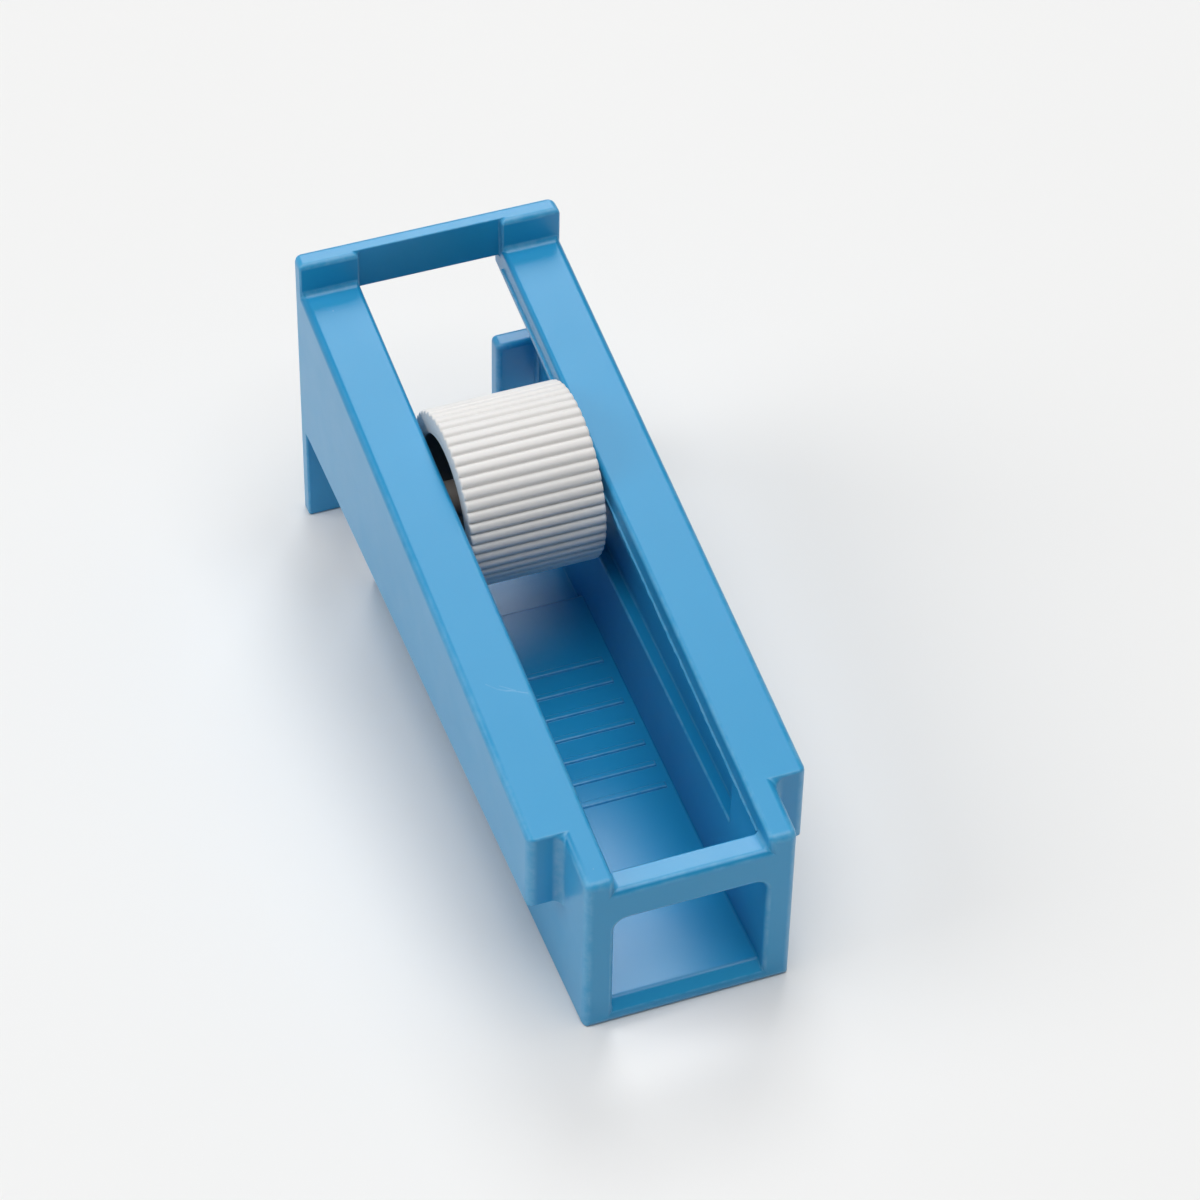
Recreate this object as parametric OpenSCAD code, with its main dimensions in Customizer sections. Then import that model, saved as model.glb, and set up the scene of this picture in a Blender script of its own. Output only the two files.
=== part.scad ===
// Roller tubing clamp: a one-piece housing, a ribbed roller and the pin it
// turns on. The pin runs under two sloping flanges, so rolling it towards the
// nose brings the roller down on a tube that lies on the floor.
// +X points to the nose, +Y runs across, +Z is up. The origin lies on the
// surface the clamp stands on, under the middle of its length.

/* [Overall] */
// Length from the end wall to the nose
length = 74; // [66:0.1:90]
// Width across the outer rails and the legs
rail_width = 26.5; // [25.5:0.1:32]
// Width across the narrow nose and the floor block
nose_width = 20; // [19.5:0.5:22]
// Height of the end wall
back_height = 32.8; // [31.5:0.1:40]

/* [Rails] */
// Height of the flange tops at the end wall
flange_back = 29.2; // [27.5:0.1:31]
// Height of the flange tops at the nose
flange_front = 18.9; // [18.7:0.1:21]
// Height of the rails' lower edge
rail_under = 11; // [8:0.1:11.5]
// Height of a flange's inner edge
lip_height = 3.3; // [2:0.1:4]
// Thickness of the rails' outer wall
rail_wall = 2.1; // [1.2:0.1:2.6]
// Width of the slot between the flanges, and of the window below its end
slot_width = 14.5; // [14:0.1:17.5]

/* [Floor block] */
// Length of the floor block, from the nose backwards
block_length = 61; // [52:0.1:62]
// Length of the floor proper, from the nose backwards
floor_length = 50.2; // [44:0.1:51]
// Length of the nose that stands ahead of the rails
nose_length = 6.2; // [4:0.1:8]
// Thickness of the floor
floor_thick = 2.1; // [1.2:0.1:3]
// Thickness of the lower floor behind it, where the tube comes in
entry_thick = 0.9; // [0.6:0.1:1.1]
// How much wider the channel is at the block's back end than at the nose
channel_flare = 1.9; // [0:0.1:2.2]
// Height of the ledges beside the channel
ledge_height = 11.7; // [11.5:0.1:12.5]
// Depth of the pin groove, into each side wall
groove_depth = 1.3; // [0.8:0.1:1.6]
// Distance from the nose to the closed end of the groove
groove_inset = 9.3; // [8.5:0.1:12]
// Height of the low cross ribs on the floor
grip_height = 0.25; // [0.1:0.05:0.5]
// Spacing of the cross ribs
grip_pitch = 2.9; // [2:0.1:4]
// Width of a cross rib
grip_width = 0.7; // [0.4:0.1:1]
// Distance from the floor's back end to the first rib
grip_start = 8.7; // [4:0.1:20]
// Number of cross ribs
grip_count = 7; // [3:1:9]

/* [Nose window] */
// Height of the window's top edge
window_top = 13.6; // [12.5:0.1:14.5]
// Corner radius of the window
window_radius = 1.3; // [0.5:0.1:2]
// Bevel along the window's sill
sill_bevel = 1.1; // [0.4:0.1:1.4]
// Length of the cross bar over the window
nose_bar_length = 2.6; // [1.8:0.1:4]
// Height of the top of that bar
nose_bar_top = 17.45; // [16.5:0.05:18.2]

/* [End wall] */
// Thickness of the end wall and its legs
end_wall = 2.2; // [1.6:0.1:3]
// Thickness of the bar across the slot
end_bar_thick = 1.6; // [1.2:0.1:2]
// Depth of that bar, down from its top
end_bar_depth = 4.7; // [3:0.1:5.5]
// Gap between the two legs
leg_gap = 13.5; // [13.4:0.1:16]
// Height of the legs' inner shoulders
leg_shoulder = 16.7; // [13:0.1:18]

/* [Roller] */
// Diameter over the roller's ribs
roller_d = 17.5; // [14.5:0.1:21]
// Number of ribs round the roller
rib_count = 48; // [30:1:54]
// Radius of a rib's rounded crest
rib_radius = 0.5; // [0.35:0.05:0.5]
// Height of a rib
rib_height = 0.35; // [0.15:0.05:0.5]
// Thickness of the rim round the hollow in each face
rim_thick = 2.3; // [1.6:0.1:4]
// Depth of the hollow in each face
recess_depth = 4.2; // [1:0.1:4.5]
// Bevel round the hollow's mouth and the rim
rim_bevel = 0.4; // [0.2:0.05:0.6]
// Distance from the nose to the roller's middle
roller_inset = 48.9; // [14:0.1:62]

/* [Pin] */
// Diameter of the pin
pin_d = 3.5; // [2.5:0.1:4.5]
// Bevel on the pin's ends
pin_bevel = 0.3; // [0.1:0.05:0.5]

/* [Fits] */
// Gap between the pin and the roller's bore, all round
bore_gap = 0.05; // [0.02:0.01:0.1]
// Gap between the pin and the flanges it runs under
track_gap = 0.15; // [0.1:0.05:0.3]
// Gap between each end of the pin and the groove, at its narrowest
end_gap = 0.3; // [0.15:0.05:0.5]
// Gap between each face of the roller and the slot
side_gap = 0.6; // [0.5:0.05:0.9]

/* [Edges] */
// Radius of the upright outer corners
corner_radius = 0.9; // [0.3:0.1:1.2]
// Radius of the long and cross edges
edge_radius = 0.6; // [0.2:0.1:0.8]
// Radius inside the step between nose and rail
step_fillet = 1; // [0.4:0.1:1.4]

/* [Hidden] */
$fn = 48;
over = 1;                                 // how far a cut runs past a face
back_x = -length / 2;
nose_x = length / 2;
wall_x = back_x + end_wall;               // inner face of the end wall
step_x = nose_x - nose_length;            // where the rails stop
block_x = nose_x - block_length;          // where the floor block starts
floor_x = nose_x - floor_length;          // where the floor steps down
groove_x = nose_x - groove_inset;
bar_x = nose_x - nose_bar_length;         // back of the bar over the window
foot_x = wall_x + edge_radius + 0.3;      // just clear of the root fillet
slope = (flange_back - flange_front) / (nose_x - wall_x);
slope_angle = atan(slope);
rail_inside = rail_width - 2 * rail_wall;
pin_r = pin_d / 2;
pin_drop = (pin_r + track_gap) / cos(slope_angle);
pin_x = nose_x - roller_inset;
pin_z = flange_top(pin_x) - lip_height - pin_drop;
pin_length = slot_width + 2 * (groove_depth - end_gap);
roller_width = slot_width - 2 * side_gap;

function flange_top(x) = flange_front + slope * (nose_x - x);

// Stands a side view up and gives it a width across the clamp
module across(width) {
    translate([0, width / 2, 0]) rotate([90, 0, 0])
        linear_extrude(width) children();
}

// What a round of radius r takes off a square corner
module corner_waste(r) {
    difference() {
        translate([-r, -r]) square(r + over);
        translate([-r, -r]) circle(r);
    }
}

// What a fillet of radius r adds to a square inside corner
module corner_fill(r) {
    difference() {
        translate([-over, -over]) square(r + over);
        translate([r, r]) circle(r);
    }
}

// Turns a flat shape over when side is -1
module facing(side) {
    if (side < 0) mirror([1, 0]) children();
    else children();
}

// Cuts the round off a level edge that runs across the clamp
module cross_edge(x, z, side, width) {
    translate([x, 0, z])
        across(width + 2 * over) facing(side) corner_waste(edge_radius);
}

// Cuts the round off an edge that runs down the flanges' slope
module sloping_edge(x0, x1, y, side) {
    run = (x1 - x0) / cos(slope_angle);
    translate([x0, y, flange_top(x0)])
        rotate([0, slope_angle, 0]) rotate([90, 0, 90])
            linear_extrude(run) facing(side) corner_waste(edge_radius);
}

// Side view of the rails: level below, sloping above
module rail_side() {
    polygon([
        [back_x, rail_under], [step_x, rail_under],
        [step_x, flange_top(step_x)], [wall_x, flange_back],
        [back_x, flange_back]
    ]);
}

// Side view of the floor block, which ends inside the rails, and the nose
module block_side() {
    joined = rail_under + over;
    polygon([
        [block_x, 0], [nose_x, 0],
        [nose_x, flange_front], [step_x, flange_top(step_x)],
        [step_x - over, joined], [block_x, joined]
    ]);
}

// Plan of one piece with rounded corners, as a solid of the given height
module rounded_plan(x0, x1, width, r, height) {
    linear_extrude(height) {
        translate([x0, -width / 2 + r]) square([x1 - x0, width - 2 * r]);
        translate([x0 + r, -width / 2]) square([x1 - x0 - 2 * r, width]);
        for (x = [x0 + r, x1 - r], side = [-1, 1])
            translate([x, side * (width / 2 - r)]) circle(r);
    }
}

// The wide rails, their flanges and the end wall with its legs
module wide_body() {
    intersection() {
        rounded_plan(back_x, step_x, rail_width, corner_radius, back_height);
        union() {
            across(rail_width) rail_side();
            translate([back_x, -rail_width / 2, 0])
                cube([end_wall, rail_width, back_height]);
        }
    }
}

// The narrow floor block and the nose
module narrow_body() {
    intersection() {
        rounded_plan(block_x, nose_x, nose_width, corner_radius, back_height);
        across(nose_width) block_side();
    }
}

// Fills the inside corners between the rails' ends and the nose's sides
module step_fillets() {
    for (side = [-1, 1])
        scale([1, side, 1])
            translate([step_x, nose_width / 2, rail_under])
                linear_extrude(flange_top(step_x + step_fillet) - rail_under)
                    corner_fill(step_fillet);
}

// Fills the inside corner between the end wall and the flange tops
module root_fillets() {
    translate([wall_x, 0, flange_back])
        across(rail_width) corner_fill(edge_radius);
}

// The open slot between the flanges, and the dip over the nose bar
module slot_cut() {
    translate([wall_x, -slot_width / 2, window_top])
        cube([bar_x - wall_x, slot_width, back_height]);
    translate([back_x + end_bar_thick, -slot_width / 2, leg_shoulder])
        cube([end_wall, slot_width, back_height]);
    translate([bar_x - over, -slot_width / 2, nose_bar_top])
        cube([nose_bar_length + 2 * over, slot_width, back_height]);
}

// Clears the end wall under its bar, and between the legs
module end_opening_cut() {
    bar_under = back_height - end_bar_depth;
    translate([back_x - over, -slot_width / 2, leg_shoulder])
        cube([end_wall + 2 * over, slot_width, bar_under - leg_shoulder]);
    translate([back_x - over, -leg_gap / 2, -over])
        cube([end_wall + 2 * over, leg_gap, leg_shoulder + 2 * over]);
}

// Hollows the rails between the end wall and the floor block
module rail_hollow_cut() {
    across(rail_inside)
        polygon([
            [back_x - over, leg_shoulder], [wall_x, leg_shoulder],
            [wall_x, -over], [block_x, -over],
            [block_x, flange_top(block_x) - lip_height],
            [back_x - over, flange_top(back_x - over) - lip_height]
        ]);
}

// Plan of a space that narrows from the block's back end to the groove's end
module tapered_plan(extra) {
    back = (slot_width + channel_flare) / 2 + extra;
    front = slot_width / 2 + extra;
    polygon([
        [block_x, -back], [groove_x, -front], [groove_x, front],
        [block_x, back]
    ]);
}

// Keeps what stands under the flanges' inner edges, from z0 up
module under_flanges(z0) {
    intersection() {
        across(rail_width)
            polygon([
                [block_x, z0], [nose_x, z0],
                [nose_x, flange_top(nose_x) - lip_height],
                [block_x, flange_top(block_x) - lip_height]
            ]);
        linear_extrude(back_height) children();
    }
}

// The channel over the floor, which narrows towards the nose
module channel_cut() {
    under_flanges(floor_thick) {
        tapered_plan(0);
        translate([groove_x, -slot_width / 2])
            square([bar_x - groove_x, slot_width]);
    }
    under_flanges(entry_thick)
        intersection() {
            tapered_plan(0);
            translate([block_x, -rail_width / 2])
                square([floor_x - block_x, rail_width]);
        }
}

// The groove that the pin's ends run in
module groove_cut() {
    under_flanges(ledge_height) tapered_plan(groove_depth);
}

// The window through the nose, with a bevelled sill
module window_cut() {
    r = window_radius;
    translate([bar_x - over, 0, floor_thick])
        rotate([90, 0, 90])
            linear_extrude(nose_bar_length + 2 * over) {
                translate([-slot_width / 2, 0])
                    square([slot_width, window_top - floor_thick - r]);
                translate([-slot_width / 2 + r, 0])
                    square([slot_width - 2 * r, window_top - floor_thick]);
                for (side = [-1, 1])
                    translate([side * (slot_width / 2 - r),
                               window_top - floor_thick - r])
                        circle(r);
            }
    across(slot_width)
        polygon([
            [nose_x - sill_bevel, floor_thick],
            [nose_x + sill_bevel, floor_thick - sill_bevel],
            [nose_x + sill_bevel, floor_thick + over],
            [nose_x - sill_bevel, floor_thick + over]
        ]);
}

// Low ribs across the floor
module grips() {
    for (i = [0 : grip_count - 1])
        translate([floor_x + grip_start + i * grip_pitch, -slot_width / 2,
                   floor_thick - over])
            cube([grip_width, slot_width, over + grip_height]);
}

// Rounds the top edges of the end wall, the flanges and the nose bar
module edge_rounds() {
    cross_edge(back_x, back_height, -1, rail_width);
    cross_edge(wall_x, back_height, 1, rail_width);
    cross_edge(nose_x, flange_front, 1, nose_width);
    translate([nose_x, 0, nose_bar_top])
        across(slot_width) corner_waste(edge_radius);
    for (side = [-1, 1]) {
        sloping_edge(foot_x, step_x, side * rail_width / 2, side);
        sloping_edge(step_x, nose_x, side * nose_width / 2, side);
        sloping_edge(foot_x, nose_x, side * slot_width / 2, -side);
    }
}

// The whole moulding
module housing() {
    color("steelblue") {
        difference() {
            union() {
                wide_body();
                narrow_body();
                step_fillets();
                root_fillets();
            }
            slot_cut();
            end_opening_cut();
            rail_hollow_cut();
            channel_cut();
            groove_cut();
            window_cut();
            edge_rounds();
        }
        grips();
    }
}

// The pin, a plain rod with bevelled ends
module pin() {
    half = pin_length / 2;
    color("dimgray")
        translate([pin_x, 0, pin_z]) rotate([90, 0, 0])
            rotate_extrude()
                polygon([
                    [0, -half], [pin_r - pin_bevel, -half],
                    [pin_r, -half + pin_bevel], [pin_r, half - pin_bevel],
                    [pin_r - pin_bevel, half], [0, half]
                ]);
}

// Section of the roller's body: a rim, a thick web and a bore
module roller_section() {
    half = roller_width / 2;
    rim = roller_d / 2;
    web = half - recess_depth;
    hollow = rim - rim_thick;
    bore = pin_r + bore_gap;
    polygon([
        [bore, -web], [hollow, -web], [hollow, -half + rim_bevel],
        [hollow + rim_bevel, -half], [rim - rim_bevel, -half],
        [rim, -half + rim_bevel], [rim, half - rim_bevel],
        [rim - rim_bevel, half], [hollow + rim_bevel, half],
        [hollow, half - rim_bevel], [hollow, web], [bore, web]
    ]);
}

// End view of the ribs: a round bead for each, on a plain core
module rib_outline() {
    core_r = roller_d / 2 - rib_height;
    circle(core_r, $fn = 96);
    for (i = [0 : rib_count - 1])
        rotate(i * 360 / rib_count)
            translate([roller_d / 2 - rib_radius, 0])
                circle(rib_radius, $fn = 16);
}

module roller() {
    color("white")
        translate([pin_x, 0, pin_z]) rotate([90, 0, 0])
            intersection() {
                rotate_extrude($fn = 96) roller_section();
                translate([0, 0, -roller_width / 2])
                    linear_extrude(roller_width) rib_outline();
            }
}

housing();
pin();
roller();
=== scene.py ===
import math
import random
from types import SimpleNamespace

import bpy
import bmesh
from mathutils import Matrix, Vector


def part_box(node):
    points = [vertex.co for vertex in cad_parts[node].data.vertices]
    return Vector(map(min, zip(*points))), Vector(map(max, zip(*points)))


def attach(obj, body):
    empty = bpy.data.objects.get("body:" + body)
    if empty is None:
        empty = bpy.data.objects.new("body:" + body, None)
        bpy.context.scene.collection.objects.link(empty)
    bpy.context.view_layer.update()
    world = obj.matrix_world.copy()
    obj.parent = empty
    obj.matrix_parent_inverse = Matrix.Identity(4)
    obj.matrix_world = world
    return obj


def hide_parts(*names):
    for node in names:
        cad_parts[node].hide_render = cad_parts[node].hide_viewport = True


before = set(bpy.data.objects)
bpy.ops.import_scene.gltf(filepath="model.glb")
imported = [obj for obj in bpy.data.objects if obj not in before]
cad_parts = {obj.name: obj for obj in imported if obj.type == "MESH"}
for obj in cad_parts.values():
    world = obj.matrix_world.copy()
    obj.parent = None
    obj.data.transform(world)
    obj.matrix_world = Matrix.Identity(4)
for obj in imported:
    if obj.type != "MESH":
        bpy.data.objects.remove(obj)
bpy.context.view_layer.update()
millimetre = 0.001
scene = bpy.context.scene
print("frame loaded:", sorted(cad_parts))


def addObject(name, data):
    made = bpy.data.objects.new(name, data)
    scene.collection.objects.link(made)
    return made


# camera

cameraSetup = {
    "position": (0.27796, -0.10210, 0.31276),
    "right": (0.34435, 0.93871, 0.01575),
    "up": (-0.66784, 0.23313, 0.70686),
    "lens": 134.26, "sensor": 36.0, "nearest": 0.01, "farthest": 20,
}


def makeCamera(setup):
    data = bpy.data.cameras.new("camera")
    data.lens = setup["lens"]
    data.sensor_width = setup["sensor"]
    data.clip_start, data.clip_end = setup["nearest"], setup["farthest"]
    camera = addObject("camera", data)
    right, up = Vector(setup["right"]), Vector(setup["up"])
    turn = Matrix((right, up, right.cross(up))).transposed().to_4x4()
    camera.matrix_world = Matrix.Translation(setup["position"]) @ turn
    scene.camera = camera


makeCamera(cameraSetup)
print("camera placed")


# mesh helpers, all in millimetres until a piece is finished

def meshObject(name, points, faces):
    mesh = bpy.data.meshes.new(name)
    mesh.from_pydata(points, [], faces)
    bm = bmesh.new()
    bm.from_mesh(mesh)
    bmesh.ops.recalc_face_normals(bm, faces=bm.faces)
    bm.to_mesh(mesh)
    bm.free()
    return addObject(name, mesh)


def ringFaces(rings, around, closed):
    # quads from each ring of points to the next, and from the last to the first if closed
    faces = []
    for i in range(rings if closed else rings - 1):
        n = (i + 1) % rings
        for k in range(around):
            m = (k + 1) % around
            faces.append((i * around + k, i * around + m, n * around + m, n * around + k))
    return faces


def solidBetween(first, last):
    # a closed solid between two outlines of as many points
    count = len(first)
    ends = [tuple(range(count)), tuple(range(count, 2 * count))]
    return meshObject("solid", first + last, ends + ringFaces(2, count, False))


def acrossPrism(outline, halfWidth):
    return solidBetween([(x, -halfWidth, z) for x, z in outline],
                        [(x, halfWidth, z) for x, z in outline])


def alongPrism(outline, x0, x1):
    return solidBetween([(x0, y, z) for y, z in outline],
                        [(x1, y, z) for y, z in outline])


def planSolid(plan, bottom, topAt):
    # flat below, its top height given by topAt(x)
    return solidBetween([(x, y, bottom) for x, y in plan],
                        [(x, y, topAt(x)) for x, y in plan])


def block(x0, x1, halfWidth, z0, z1):
    return acrossPrism([(x0, z0), (x1, z0), (x1, z1), (x0, z1)], halfWidth)


def takeModifiers(obj):
    # the modified mesh becomes the object's own
    graph = bpy.context.evaluated_depsgraph_get()
    mesh = bpy.data.meshes.new_from_object(obj.evaluated_get(graph))
    obj.modifiers.clear()
    obj.data = mesh


def combine(base, others, operation):
    for other in others:
        tool = base.modifiers.new("join", "BOOLEAN")
        tool.object = other
        tool.operation = operation
        tool.solver = "EXACT"
        takeModifiers(base)
        bpy.data.objects.remove(other)
    return base


def setPointValues(obj, name, values):
    layer = obj.data.attributes.new(name, "FLOAT", "POINT")
    layer.data.foreach_set("value", values)


def toMetres(obj):
    obj.data.transform(Matrix.Scale(millimetre, 4))
    return obj


# housing

housingShape = {
    "endWall": 2.2, "railWidth": 26.5, "noseWidth": 20.0, "noseLength": 6.2,
    "blockLength": 61.0, "blockSink": 2.0, "floorLength": 50.2, "entryFloor": 0.9,
    "backTop": 29.2, "frontTop": 18.9, "railUnder": 11.0,
    "lipHeight": 3.3, "slotHalf": 7.25, "railHalf": 11.15,
    "floor": 2.1, "flare": 0.95, "ledge": 11.7, "grooveDepth": 1.3,
    "grooveInset": 9.3, "windowTop": 13.6, "windowRound": 1.3, "windowSteps": 6,
    "sillBevel": 1.1, "sillSink": 0.001, "barLength": 2.6, "barTop": 17.45,
    "endBarThick": 1.6, "endBarUnder": 28.1, "legHalf": 6.75, "shoulder": 16.7,
    "gripStart": 8.7, "gripPitch": 2.9, "gripWidth": 0.7, "gripHeight": 0.25,
    "gripCount": 7, "gripGap": 0.4, "gripRoot": 0.5,
    "rounds": {
        "upright": 0.9, "stepFillet": 1.0, "flangeOuter": 0.75, "flangeInner": 0.5,
        "endTop": 0.6, "rootFillet": 0.6, "window": 0.5, "nose": 0.75, "sill": 0.3,
        "bar": 0.7, "barRoot": 0.55, "endBarInner": 0.12, "grip": 0.18,
        "gripFoot": 0.05, "leg": 0.6, "plain": 0.25,
    },
    "roundSegments": 4,
}
past = 1  # how far a cutter runs beyond the face it opens
hair = 0.01  # a difference too small to see, in mm


def housingPlaces(s):
    # where the housing's main faces lie
    low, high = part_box("housing")
    p = SimpleNamespace()
    p.backX, p.noseX, p.topZ = low.x / millimetre, high.x / millimetre, high.z / millimetre
    p.wallX, p.stepX = p.backX + s["endWall"], p.noseX - s["noseLength"]
    p.blockX, p.barX = p.noseX - s["blockLength"], p.noseX - s["barLength"]
    p.grooveX, p.floorX = p.noseX - s["grooveInset"], p.noseX - s["floorLength"]
    p.rail, p.nose, p.half = s["railWidth"] / 2, s["noseWidth"] / 2, s["slotHalf"]
    slope = (s["backTop"] - s["frontTop"]) / (p.noseX - p.wallX)
    p.top = lambda x: s["frontTop"] + slope * (p.noseX - x)
    p.under = lambda x: p.top(x) - s["lipHeight"]
    return p


def outerBody(s, p):
    body = acrossPrism([
        (p.backX, 0), (p.wallX, 0), (p.wallX, s["railUnder"]),
        (p.stepX, s["railUnder"]), (p.stepX, p.top(p.stepX)),
        (p.wallX, s["backTop"]), (p.wallX, p.topZ), (p.backX, p.topZ)], p.rail)
    stepTop = p.top(p.stepX)
    narrow = acrossPrism([
        (p.blockX, 0), (p.noseX, 0), (p.noseX, s["frontTop"]), (p.stepX, stepTop),
        (p.stepX - s["blockSink"], stepTop - s["blockSink"]),
        (p.blockX, stepTop - s["blockSink"])], p.nose)
    return combine(body, [narrow], "UNION")


def slotCuts(s, p):
    # the slot down the middle, and what leaves the nose bar and the end bar
    above = p.topZ + past
    return [
        block(p.wallX, p.barX, p.half, s["windowTop"], above),
        block(p.backX + s["endBarThick"], p.wallX + past, p.half, s["shoulder"], above),
        block(p.barX - past, p.noseX + past, p.half, s["barTop"], above),
        block(p.backX - past, p.wallX + past, p.half, s["shoulder"] + hair,
              s["endBarUnder"]),
    ]


def rearCuts(s, p):
    # between the legs, and the hollow behind the block under the flanges
    start = p.backX - past
    return [
        block(start, p.wallX + past, s["legHalf"], -past, s["shoulder"] + past),
        acrossPrism([
            (start, s["shoulder"]), (p.wallX, s["shoulder"]), (p.wallX, -past),
            (p.blockX, -past), (p.blockX, p.under(p.blockX)),
            (start, p.under(start))], s["railHalf"]),
    ]


def channelCuts(s, p):
    # the tube's channel, wider and lower at the back, and the pin's grooves
    start = p.blockX - past
    back = p.half + s["flare"] * (start - p.grooveX) / (p.blockX - p.grooveX)
    channel = acrossPrism([
        (start, s["entryFloor"]), (p.floorX, s["entryFloor"]),
        (p.floorX, s["floor"]), (p.barX, s["floor"]),
        (p.barX, p.under(p.barX)), (start, p.under(start))], p.rail)
    flared = planSolid([
        (start - past, -back), (start, -back), (p.grooveX, -p.half),
        (p.barX + past, -p.half), (p.barX + past, p.half), (p.grooveX, p.half),
        (start, back), (start - past, back)], -past, lambda x: p.topZ)
    deep = s["grooveDepth"]
    grooves = planSolid([
        (start, -back - deep), (p.grooveX, -p.half - deep),
        (p.grooveX, p.half + deep), (start, back + deep)], s["ledge"], p.under)
    return [combine(channel, [flared], "INTERSECT"), grooves]


def windowCuts(s, p):
    # the tube's window in the nose, round above, and its sloping sill
    r, sill = s["windowRound"], s["sillBevel"]
    outline = [(-p.half, s["floor"]), (p.half, s["floor"])]
    for side, first in ((1, 0), (-1, 90)):
        for i in range(s["windowSteps"] + 1):
            turn = math.radians(first + 90 * i / s["windowSteps"])
            outline.append((side * (p.half - r) + r * math.cos(turn),
                            s["windowTop"] - r + r * math.sin(turn)))
    return [
        alongPrism(outline, p.barX - past, p.noseX + past),
        acrossPrism([
            (p.noseX - sill, s["floor"] - s["sillSink"]),
            (p.noseX + past, s["floor"] - sill - past),
            (p.noseX + past, s["floor"] + past),
            (p.noseX - sill, s["floor"] + past)], p.half),
    ]


def gripRibs(s, p):
    ribs = []
    for i in range(s["gripCount"]):
        x = p.floorX + s["gripStart"] + i * s["gripPitch"]
        ribs.append(block(x, x + s["gripWidth"], p.half - s["gripGap"],
                          s["floor"] - s["gripRoot"], s["floor"] + s["gripHeight"]))
    return ribs


def roundFor(edge, s, p):
    # radius for one edge, from where it lies and how it runs
    r = s["rounds"]
    reach, slack, inset, mostly = 0.06, 0.1, 1, 0.9
    near = lambda u, v: abs(u - v) < reach
    a, b = edge.verts[0].co, edge.verts[1].co
    m, run = (a + b) / 2, (b - a).normalized()
    alongX, acrossY, upZ = (abs(share) > mostly for share in run)
    y = abs(m.y)
    if upZ and near(m.x, p.stepX) and near(y, p.nose):
        return r["stepFillet"]
    if upZ and (near(y, p.rail) or near(y, p.nose)):
        if any(near(m.x, x) for x in (p.backX, p.stepX, p.noseX)):
            return r["upright"]
    if alongX and near(m.z, p.top(m.x)):
        return r["flangeInner"] if near(y, p.half) else r["flangeOuter"]
    if acrossY and near(m.x, p.wallX) and near(m.z, s["backTop"]):
        return r["rootFillet"]
    if near(m.z, p.topZ):
        return r["endBarInner"] if near(m.x, p.backX + s["endBarThick"]) else r["endTop"]
    if near(m.x, p.noseX):
        if acrossY and m.z < s["floor"]:
            return r["sill"]
        if y < p.half + slack and m.z < s["windowTop"] + slack:
            return r["window"]
    if near(m.z, s["barTop"]):
        if alongX and near(y, p.half):
            return r["barRoot"]
        if near(m.x, p.noseX):
            return r["bar"]
    if near(m.x, p.noseX):
        return r["nose"]
    if m.x < p.wallX + slack and m.z < s["shoulder"] + slack and y < p.rail - inset:
        return r["leg"] if m.z > slack else r["plain"]
    height = m.z - s["floor"]
    if -slack < height < s["gripHeight"] + slack and y < p.half - slack:
        if p.floorX + inset < m.x < p.barX - inset:
            return r["grip"] if height > s["gripHeight"] / 2 else r["gripFoot"]
    return r["plain"]


def roundEdges(obj, s, p):
    # rounded edges, their faces kept apart by material index 1
    weld, flat, sharp = 0.002, math.radians(0.2), math.radians(25)
    bm = bmesh.new()
    bm.from_mesh(obj.data)
    bmesh.ops.remove_doubles(bm, verts=bm.verts, dist=weld)
    bmesh.ops.dissolve_limit(bm, angle_limit=flat, verts=bm.verts, edges=bm.edges)
    weight = bm.edges.layers.float.new("bevel_weight_edge")
    for edge in bm.edges:
        if len(edge.link_faces) == 2 and edge.calc_face_angle() > sharp:
            edge[weight] = roundFor(edge, s, p)
    for face in bm.faces:
        face.smooth = True
    bm.to_mesh(obj.data)
    bm.free()
    for slot in range(2):
        obj.data.materials.append(None)
    tool = obj.modifiers.new("rounds", "BEVEL")
    tool.limit_method = "WEIGHT"
    tool.offset_type = "OFFSET"
    tool.width = 1
    tool.segments = s["roundSegments"]
    tool.use_clamp_overlap = False
    tool.miter_outer = "MITER_SHARP"
    tool.harden_normals = True
    tool.material = 1
    takeModifiers(obj)


def markEdges(obj):
    # point values for the materials: 1 inside an outer or an inner rounding
    bm = bmesh.new()
    bm.from_mesh(obj.data)
    outer, inner = [], []
    flat = 0.02
    for vert in bm.verts:
        turn = 0
        if all(face.material_index == 1 for face in vert.link_faces):
            turn = sum(e.calc_face_angle_signed(0) for e in vert.link_edges)
        outer.append(1.0 if turn > flat else 0.0)
        inner.append(1.0 if turn < -flat else 0.0)
    bm.free()
    setPointValues(obj, "outerEdge", outer)
    setPointValues(obj, "innerEdge", inner)
    print(obj.name, "marked points:", int(sum(outer)), int(sum(inner)))


def makeHousing(s, p):
    body = outerBody(s, p)
    cuts = slotCuts(s, p) + rearCuts(s, p) + channelCuts(s, p) + windowCuts(s, p)
    combine(body, cuts, "DIFFERENCE")
    combine(body, gripRibs(s, p), "UNION")
    body.name = "housingShell"
    roundEdges(body, s, p)
    markEdges(body)
    print("housing: faces", len(body.data.polygons))
    return toMetres(body)


places = housingPlaces(housingShape)
housing = makeHousing(housingShape, places)
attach(housing, "housing")
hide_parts("housing")


# parting ridges, one along each lip

ridgeShape = {
    "below": 2.1, "proud": 0.16, "uneven": 0.25, "halfHeight": 0.14, "crestHalf": 0.03,
    "sink": 0.05, "endGap": 0.3, "waver": 0.035, "drift": 0.7, "steps": 120,
}


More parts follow.
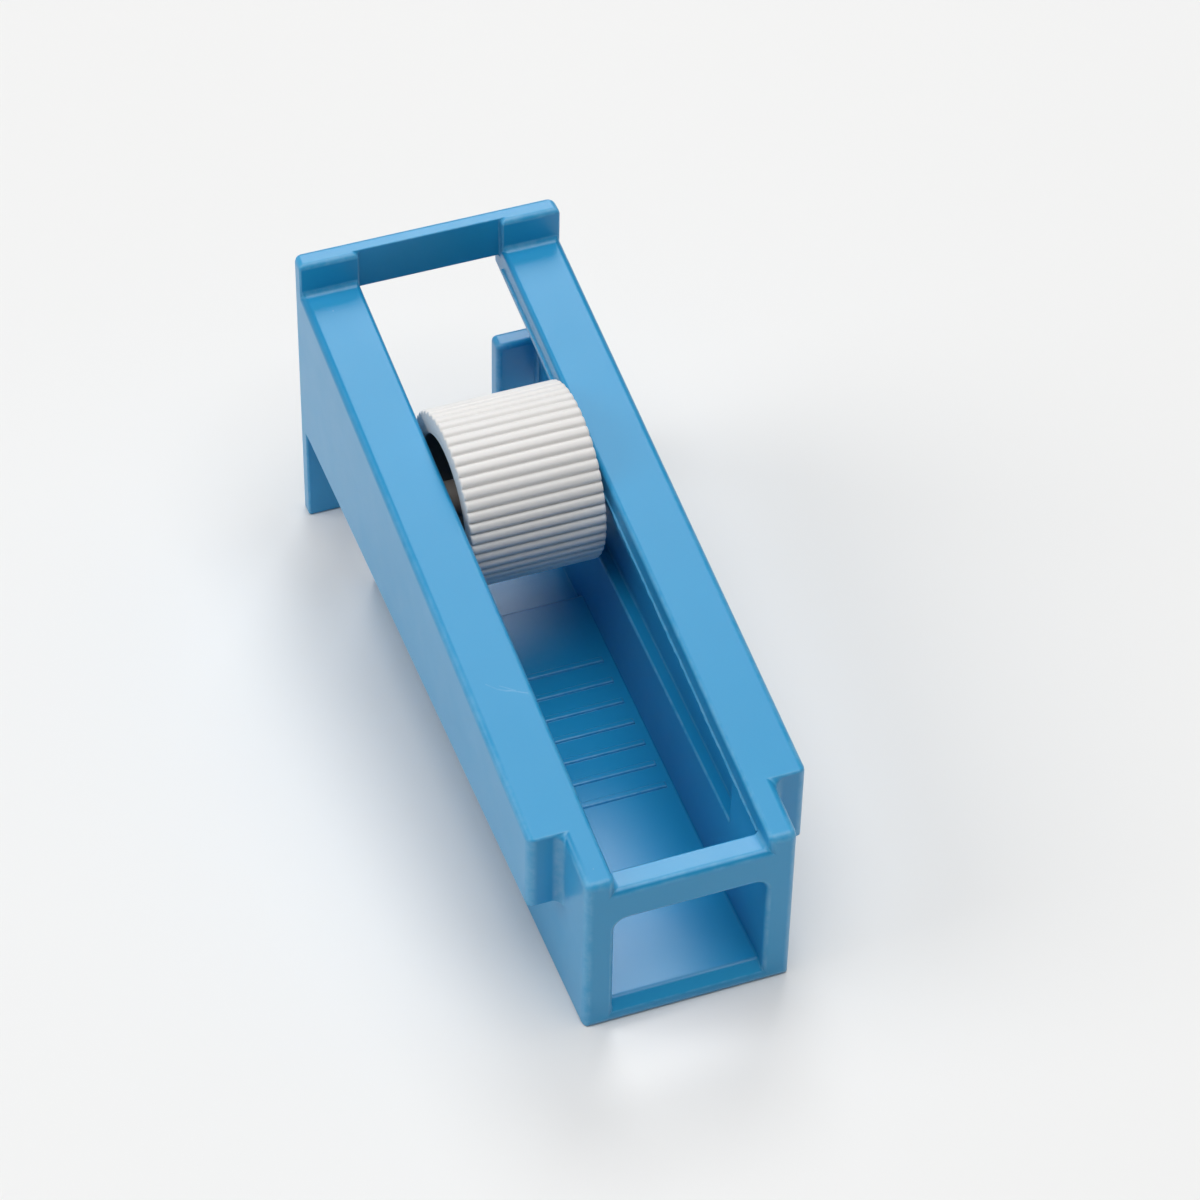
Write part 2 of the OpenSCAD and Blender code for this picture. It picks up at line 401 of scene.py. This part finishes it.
def makeRidge(name, side, s, p):
    rng = random.Random(7 + side)
    x0, x1 = p.wallX + s["endGap"], p.barX - s["endGap"]
    root = p.half + s["sink"]
    points = []
    drift = 0
    for i in range(s["steps"] + 1):
        x = x0 + (x1 - x0) * i / s["steps"]
        drift = s["drift"] * drift + s["waver"] * rng.uniform(-1, 1)
        z = p.top(x) - s["below"] + drift
        crest = p.half - s["proud"] * rng.uniform(1 - s["uneven"], 1 + s["uneven"])
        for y, rise in ((root, s["halfHeight"]), (crest, s["crestHalf"]),
                        (crest, -s["crestHalf"]), (root, -s["halfHeight"])):
            points.append((x, side * y, z + rise))
    last = len(points) - 4
    ends = [(0, 1, 2, 3), (last, last + 1, last + 2, last + 3)]
    made = meshObject(name, points, ringFaces(s["steps"] + 1, 4, False) + ends)
    # painted highlight: the whole ridge takes the lightened outer-edge colour
    setPointValues(made, "outerEdge", [1.0] * len(points))
    return toMetres(made)


ridges = [makeRidge("partingRidgeLeft", -1, ridgeShape, places),
          makeRidge("partingRidgeRight", 1, ridgeShape, places)]
for ridge in ridges:
    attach(ridge, "housing")
print("parting ridges made")


# helpers for the turned pieces: the roller and its pin both lie across

def turnedSize(node):
    # centre, radius and half length
    low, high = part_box(node)
    middle = (low + high) / 2 / millimetre
    return middle, (high.z - low.z) / 2 / millimetre, (high.y - low.y) / 2 / millimetre


def ringPoint(middle, y, radius, turn):
    return (middle.x + radius * math.cos(turn), middle.y + y,
            middle.z + radius * math.sin(turn))


def endRounding(half, outer, radius, steps):
    # (y, radius, sine of the turn) over the rounded rim of an end face
    stations = []
    for i in range(steps + 1):
        turn = 0.5 * math.pi * i / steps
        stations.append((half - radius * (1 - math.cos(turn)),
                         outer - radius * (1 - math.sin(turn)), math.sin(turn)))
    return stations


def smoothFaces(obj):
    obj.data.polygons.foreach_set("use_smooth", [True] * len(obj.data.polygons))


# roller

rollerShape = {
    "ribs": 48, "samplesPerRib": 12, "valleyDepth": 0.36, "crestShare": 0.9,
    "crestPower": 2.3, "endRound": 0.22, "endSteps": 5, "endRelief": 0.85,
    "recessRadius": 6.45, "recessDepth": 4.2, "recessRound": 0.25, "webRound": 0.5,
    "bore": 1.8, "boreBevel": 0.3,
}


def ribDip(turn, s):
    # 0 on a crest, 1 at the bottom of a valley; broad crests, narrow valleys
    place = (turn * s["ribs"] / (2 * math.pi)) % 1.0
    away = min(1, 2 * min(place, 1 - place) / s["crestShare"])
    return 1 - (1 - away ** s["crestPower"]) ** (1 / s["crestPower"])


def rollerStations(s, outer, half):
    # (y, radius, share of the rib relief) from the bore out and back again
    web, recess = half - s["recessDepth"], s["recessRadius"]
    lip, fillet = s["recessRound"], s["webRound"]
    right = [
        (web - s["boreBevel"], s["bore"], 0),
        (web, s["bore"] + s["boreBevel"], 0),
        (web, recess - fillet, 0),
        (web + 0.15 * fillet, recess - 0.3 * fillet, 0),
        (web + fillet, recess, 0),
        (half - lip, recess, 0),
        (half - 0.3 * lip, recess + 0.3 * lip, 0),
        (half, recess + lip, 0),
    ]
    least = s["endRelief"]
    for y, radius, sine in endRounding(half, outer, s["endRound"], s["endSteps"]):
        right.append((y, radius, least + (1 - least) * sine))
    return right + [(-y, radius, share) for y, radius, share in reversed(right)]


def makeRoller(s):
    middle, outer, half = turnedSize("roller")
    stations = rollerStations(s, outer, half)
    around = s["ribs"] * s["samplesPerRib"]
    points, valleys, hollows = [], [], []
    for y, radius, share in stations:
        inHollow = radius < s["recessRadius"] + hair
        for k in range(around):
            turn = 2 * math.pi * k / around
            dip = share * ribDip(turn, s)
            points.append(ringPoint(middle, y, radius - s["valleyDepth"] * dip, turn))
            valleys.append(dip)
            hollows.append(1.0 if inHollow else 0.0)
    made = meshObject("rollerWheel", points, ringFaces(len(stations), around, True))
    setPointValues(made, "valley", valleys)
    setPointValues(made, "hollow", hollows)
    smoothFaces(made)
    return toMetres(made)


roller = makeRoller(rollerShape)
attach(roller, "roller")
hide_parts("roller")
print("roller: faces", len(roller.data.polygons))


# pin

pinShape = {"around": 64, "endRound": 0.3, "roundSteps": 4, "endRing": 0.25}


def makePin(s):
    middle, outer, half = turnedSize("pin")
    rim = endRounding(half, outer, s["endRound"], s["roundSteps"])
    profile = [(half, s["endRing"] * outer)] + [(y, radius) for y, radius, sine in rim]
    profile += [(-y, radius) for y, radius in reversed(profile)]
    around = s["around"]
    points = [ringPoint(middle, y, radius, 2 * math.pi * k / around)
              for y, radius in profile for k in range(around)]
    last = len(points) - around
    ends = [tuple(range(around)), tuple(range(last, last + around))]
    made = meshObject("rollerPin", points, ringFaces(len(profile), around, False) + ends)
    smoothFaces(made)
    return toMetres(made)


pin = makePin(pinShape)
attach(pin, "pin")
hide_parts("pin")
print("pin: faces", len(pin.data.polygons))


# node helpers; tree is a material's node tree

noiseRange = (0.3, 0.7)  # most of a noise's values lie in it


def nodeMaterial(name, sockets):
    # sockets: the shader values that are the same all over
    made = bpy.data.materials.new(name)
    made.use_nodes = True
    tree = made.node_tree
    shader = tree.nodes["Principled BSDF"]
    for socket, value in sockets.items():
        shader.inputs[socket].default_value = value
    place = tree.nodes.new("ShaderNodeTexCoord").outputs["Object"]
    return made, tree, shader, place


def noise(tree, place, scale, detail, rough=0.5):
    made = tree.nodes.new("ShaderNodeTexNoise")
    made.inputs["Scale"].default_value = scale
    made.inputs["Detail"].default_value = detail
    made.inputs["Roughness"].default_value = rough
    tree.links.new(place, made.inputs["Vector"])
    return made.outputs["Fac"]


def spread(tree, value, source, target):
    # source and target: (low, high) ranges
    made = tree.nodes.new("ShaderNodeMapRange")
    made.inputs["From Min"].default_value, made.inputs["From Max"].default_value = source
    made.inputs["To Min"].default_value, made.inputs["To Max"].default_value = target
    tree.links.new(value, made.inputs["Value"])
    return made.outputs["Result"]


def mixColour(tree, amount, first, second):
    made = tree.nodes.new("ShaderNodeMix")
    made.data_type = "RGBA"
    tree.links.new(amount, made.inputs["Factor"])
    for socket, value in ((made.inputs["A"], first), (made.inputs["B"], second)):
        if isinstance(value, tuple):
            socket.default_value = (*value, 1)
        else:
            tree.links.new(value, socket)
    return made.outputs["Result"]


def calculate(tree, operation, first, second):
    made = tree.nodes.new("ShaderNodeMath")
    made.operation = operation
    for socket, value in zip(made.inputs, (first, second)):
        if isinstance(value, float):
            socket.default_value = value
        else:
            tree.links.new(value, socket)
    return made.outputs["Value"]


def times(tree, first, second):
    return calculate(tree, "MULTIPLY", first, second)


def attribute(tree, name):
    made = tree.nodes.new("ShaderNodeAttribute")
    made.attribute_name = name
    return made.outputs["Fac"]


def addBump(tree, shader, heights):
    # heights: (height output, distance in metres), each over the one before
    normal = None
    for height, distance in heights:
        made = tree.nodes.new("ShaderNodeBump")
        made.inputs["Strength"].default_value = 1
        made.inputs["Distance"].default_value = distance
        tree.links.new(height, made.inputs["Height"])
        if normal:
            tree.links.new(normal, made.inputs["Normal"])
        normal = made.outputs["Normal"]
    tree.links.new(normal, shader.inputs["Normal"])


def flecks(tree, place, s):
    # sparse small dots: 1 in a dot, 0 elsewhere
    cells = tree.nodes.new("ShaderNodeTexVoronoi")
    cells.inputs["Scale"].default_value = 1 / s["cell"]
    tree.links.new(place, cells.inputs["Vector"])
    shade = tree.nodes.new("ShaderNodeSeparateColor")
    tree.links.new(cells.outputs["Color"], shade.inputs["Color"])
    kept = calculate(tree, "GREATER_THAN", shade.outputs["Red"], 1 - s["share"])
    size = s["radius"] / s["cell"]
    dot = spread(tree, cells.outputs["Distance"], (s["core"] * size, size), (1, 0))
    return times(tree, dot, kept)


def vectorMath(tree, operation, first, second):
    made = tree.nodes.new("ShaderNodeVectorMath")
    made.operation = operation
    for socket, value in zip(made.inputs, (first, second)):
        if isinstance(value, Vector):
            socket.default_value = value
        else:
            tree.links.new(value, socket)
    return made


def stroke(tree, place, first, last, width):
    # 1 on a straight mark between two points, fading to 0 at its width
    start = Vector(first) * millimetre
    run = Vector(last) * millimetre - start
    away = vectorMath(tree, "SUBTRACT", place, start).outputs["Vector"]
    along = vectorMath(tree, "DOT_PRODUCT", away, run / run.length_squared)
    held = tree.nodes.new("ShaderNodeClamp")
    tree.links.new(along.outputs["Value"], held.inputs["Value"])
    foot = tree.nodes.new("ShaderNodeVectorMath")
    foot.operation = "SCALE"
    foot.inputs[0].default_value = run
    tree.links.new(held.outputs["Result"], foot.inputs["Scale"])
    off = vectorMath(tree, "DISTANCE", away, foot.outputs["Vector"])
    return spread(tree, off.outputs["Value"], (0, width * millimetre), (1, 0))


# blue plastic of the housing; marks: ((x, y), (x, y), width) on the flange tops

bluePlastic = {
    "body": (0.012, 0.318, 0.620), "deep": (0.009, 0.305, 0.600),
    "wornAndHighlit": (0.200, 0.500, 0.740), "creaseShade": (0.004, 0.190, 0.420),
    "scratched": (0.300, 0.560, 0.780),
    "cloud": (55, 3), "ripple": (260, 2), "patch": (900, 4, 0.6), "grain": (2600, 2),
    "patchRange": (0.35, 0.65), "wear": (0.10, 0.42), "creaseShadeShare": 0.35,
    "rough": (0.30, 0.335), "wornRough": 0.15, "dotShare": 0.5,
    "dots": {"cell": 0.0032, "share": 0.10, "radius": 0.00009, "core": 0.4},
    "marks": [((13.6, -11.2), (14.4, -10.4), 0.07), ((14.4, -10.4), (14.8, -9.7), 0.10),
              ((14.8, -9.7), (15.0, -8.9), 0.12), ((14.9, -9.3), (15.6, -7.9), 0.08),
              ((14.1, -10.1), (14.9, -9.0), 0.05)],
    "barMark": ((34.9, -7.2, 17.45), (35.9, -6.9, 17.45), 0.35),
    "rippleDepth": 0.0000025, "grainDepth": 0.000002, "scratchDepth": 0.00002,
    "sockets": {
        "IOR": 1.57, "Sheen Weight": 0.06, "Sheen Roughness": 0.35,
        "Subsurface Weight": 0.10, "Subsurface Radius": (0.3, 0.9, 1.4),
        "Subsurface Scale": 0.0012,
    },
}


def scratches(tree, place, s, topAt):
    strokes = [stroke(tree, place, *s["barMark"])]
    for first, last, width in s["marks"]:
        ends = [(x, y, topAt(x)) for x, y in (first, last)]
        strokes.append(stroke(tree, place, *ends, width))
    marks = strokes[0]
    for one in strokes[1:]:
        marks = calculate(tree, "MAXIMUM", marks, one)
    return marks


def makeBlue(s, topAt):
    made, tree, shader, place = nodeMaterial("bluePlastic", s["sockets"])
    tint = spread(tree, noise(tree, place, *s["cloud"]), noiseRange, (0, 1))
    colour = mixColour(tree, tint, s["deep"], s["body"])
    # painted shade: the inner roundings are darkened, as shade falls in concave corners
    inner = times(tree, attribute(tree, "innerEdge"), s["creaseShadeShare"])
    colour = mixColour(tree, inner, colour, s["creaseShade"])
    # the outer roundings are lightened: partly edge wear, partly a painted highlight
    wear = spread(tree, noise(tree, place, *s["patch"]), s["patchRange"], s["wear"])
    wornAndHighlit = times(tree, attribute(tree, "outerEdge"), wear)
    colour = mixColour(tree, wornAndHighlit, colour, s["wornAndHighlit"])
    dots = times(tree, flecks(tree, place, s["dots"]), s["dotShare"])
    colour = mixColour(tree, dots, colour, s["scratched"])
    marks = times(tree, scratches(tree, place, s, topAt), wear)
    colour = mixColour(tree, marks, colour, s["scratched"])
    tree.links.new(colour, shader.inputs["Base Color"])
    ripple = noise(tree, place, *s["ripple"])
    rough = spread(tree, ripple, noiseRange, s["rough"])
    rough = calculate(tree, "ADD", rough, times(tree, wornAndHighlit, s["wornRough"]))
    tree.links.new(rough, shader.inputs["Roughness"])
    addBump(tree, shader, [(ripple, s["rippleDepth"]),
                           (noise(tree, place, *s["grain"]), s["grainDepth"]),
                           (marks, s["scratchDepth"])])
    return made


# white plastic of the roller

whitePlastic = {
    "body": (0.81, 0.80, 0.79), "deep": (0.785, 0.77, 0.755),
    "shade": (0.06, 0.06, 0.065), "hollowShadeShare": 0.85,
    "fleckAndValleyShade": (0.52, 0.50, 0.49), "valleyShadeShare": 0.35,
    "cloud": (180, 3), "grain": (3000, 2), "grainDepth": 0.000005,
    "rough": (0.40, 0.48), "dotShare": 0.5,
    "dots": {"cell": 0.0030, "share": 0.12, "radius": 0.00007, "core": 0.4},
    "sockets": {
        "IOR": 1.49, "Subsurface Weight": 0.15, "Subsurface Radius": (1.0, 0.9, 0.8),
        "Subsurface Scale": 0.0008,
    },
}


def makeWhite(s):
    made, tree, shader, place = nodeMaterial("whitePlastic", s["sockets"])
    cloud = noise(tree, place, *s["cloud"])
    tint = spread(tree, cloud, noiseRange, (0, 1))
    colour = mixColour(tree, tint, s["deep"], s["body"])
    # painted shade: the rib valleys are greyed, darker towards their bottoms
    low = times(tree, times(tree, attribute(tree, "valley"), s["valleyShadeShare"]), tint)
    colour = mixColour(tree, low, colour, s["fleckAndValleyShade"])
    dots = times(tree, flecks(tree, place, s["dots"]), s["dotShare"])
    colour = mixColour(tree, dots, colour, s["fleckAndValleyShade"])
    # painted shade: the end recesses are darkened almost to black
    inside = times(tree, attribute(tree, "hollow"), s["hollowShadeShare"])
    colour = mixColour(tree, inside, colour, s["shade"])
    tree.links.new(colour, shader.inputs["Base Color"])
    tree.links.new(spread(tree, cloud, noiseRange, s["rough"]), shader.inputs["Roughness"])
    addBump(tree, shader, [(noise(tree, place, *s["grain"]), s["grainDepth"])])
    return made


# grey-brown plastic of the pin

pinPlastic = {
    "body": (0.46, 0.41, 0.37), "deep": (0.36, 0.32, 0.285),
    "cloud": (400, 3), "cloudDepth": 0.00001, "rough": (0.4, 0.55), "sockets": {},
}


def makeBrown(s):
    made, tree, shader, place = nodeMaterial("pinPlastic", s["sockets"])
    cloud = noise(tree, place, *s["cloud"])
    tint = spread(tree, cloud, noiseRange, (0, 1))
    colour = mixColour(tree, tint, s["deep"], s["body"])
    tree.links.new(colour, shader.inputs["Base Color"])
    tree.links.new(spread(tree, cloud, noiseRange, s["rough"]), shader.inputs["Roughness"])
    addBump(tree, shader, [(cloud, s["cloudDepth"])])
    return made


def finishWith(obj, material):
    # one material on every face
    obj.data.materials.clear()
    obj.data.materials.append(material)
    obj.data.polygons.foreach_set("material_index", [0] * len(obj.data.polygons))


blue = makeBlue(bluePlastic, places.top)
for part in (housing, *ridges):
    finishWith(part, blue)
finishWith(roller, makeWhite(whitePlastic))
finishWith(pin, makeBrown(pinPlastic))
print("materials made")


# table and light

studio = {
    "tableSize": 6.0, "tableSteps": 8, "tableDrop": 0.00004,
    "tableColour": (0.86, 0.86, 0.855), "tableLift": 0.008, "tableCloud": (9, 2),
    "tableSockets": {"Roughness": 0.65, "Specular IOR Level": 0.3},
    "world": (1.0, 1.0, 1.0), "worldStrength": 0.06,
    "lights": {
        "overhead": {"place": (0.3, 0.0, 2.6), "size": 2.8, "power": 53.0},
        "backSoft": {"place": (-1.68, 0.62, 1.88), "size": 1.2, "power": 18.5},
        "leftSide": {"place": (-0.50, -2.20, 1.50), "size": 1.8, "power": 22.5},
        "rightSide": {"place": (-0.20, 2.20, 1.60), "size": 1.8, "power": 2.8},
        "frontFill": {"place": (2.20, 0.0, 1.40), "size": 1.8, "power": 0.8},
    },
}


def tableMaterial(s):
    made, tree, shader, place = nodeMaterial("tableTop", s["tableSockets"])
    tint = spread(tree, noise(tree, place, *s["tableCloud"]), noiseRange, (0, 1))
    whiter = tuple(part + s["tableLift"] for part in s["tableColour"])
    colour = mixColour(tree, tint, s["tableColour"], whiter)
    tree.links.new(colour, shader.inputs["Base Color"])
    return made


def makeTable(s):
    half, steps = s["tableSize"] / 2, s["tableSteps"]
    row = steps + 1
    marks = [half * (2 * i / steps - 1) for i in range(row)]
    points = [(x, y, -s["tableDrop"]) for y in marks for x in marks]
    faces = [(j * row + i, j * row + i + 1, (j + 1) * row + i + 1, (j + 1) * row + i)
             for j in range(steps) for i in range(steps)]
    mesh = bpy.data.meshes.new("table")
    mesh.from_pydata(points, [], faces)
    table = addObject("table", mesh)
    table.data.materials.append(tableMaterial(s))


def makeLights(s):
    world = bpy.data.worlds.new("studio")
    world.use_nodes = True
    sky = world.node_tree.nodes["Background"]
    sky.inputs["Color"].default_value = (*s["world"], 1)
    sky.inputs["Strength"].default_value = s["worldStrength"]
    scene.world = world
    for name, lamp in s["lights"].items():
        data = bpy.data.lights.new(name, "AREA")
        data.shape = "DISK"
        data.size = lamp["size"]
        data.energy = lamp["power"]
        made = addObject(name, data)
        made.location = lamp["place"]
        made.rotation_mode = "QUATERNION"
        made.rotation_quaternion = (-Vector(lamp["place"])).to_track_quat("-Z", "Y")


makeTable(studio)
makeLights(studio)
scene.view_settings.view_transform = "Standard"
print("table and light made")
